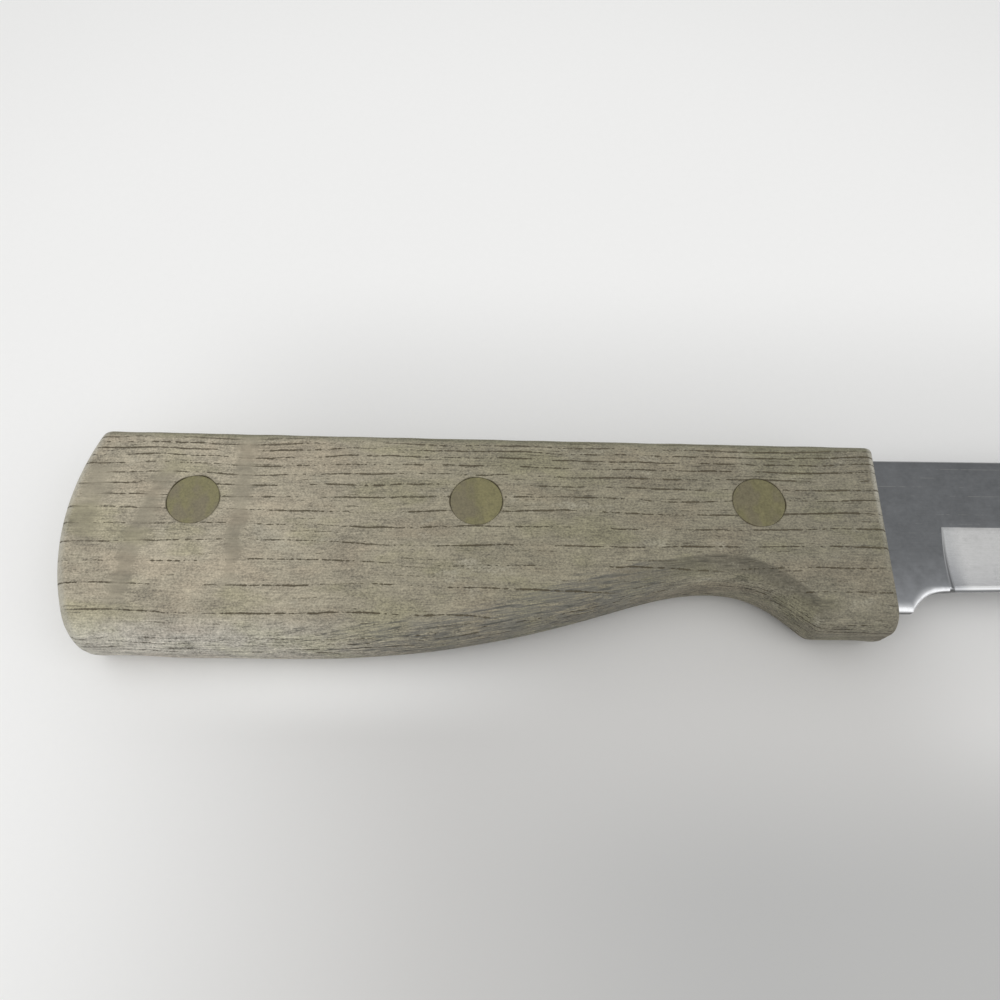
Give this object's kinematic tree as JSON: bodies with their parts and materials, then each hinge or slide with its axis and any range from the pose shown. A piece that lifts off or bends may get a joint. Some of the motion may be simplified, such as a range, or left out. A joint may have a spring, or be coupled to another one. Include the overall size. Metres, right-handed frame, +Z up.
{
  "type": "carving knife",
  "caption": "Carving knife with a hollow-ground steel blade whose tang lies in a saw kerf in a grooved oak handle, held by brass cutlery rivets.",
  "frame": {"origin": "middle of the knife's length and height, on the surface that it lies on", "axes": "+X from the butt to the tip, +Y from the cutting edge to the spine, +Z up from the surface that the knife lies on"},
  "size_m": [0.3278, 0.0346, 0.0114],
  "materials": {
    "steel": "satin flats and a polished hollow grind",
    "oak": "dry grey weathered oak",
    "brass": "dull tarnished brass"
  },
  "bodies": {
    "root": {"blade": "steel", "handle": "oak", "front_rivet_socket": "brass", "front_rivet_post": "brass", "middle_rivet_socket": "brass", "middle_rivet_post": "brass", "rear_rivet_socket": "brass", "rear_rivet_post": "brass"}
  },
  "joints": []
}
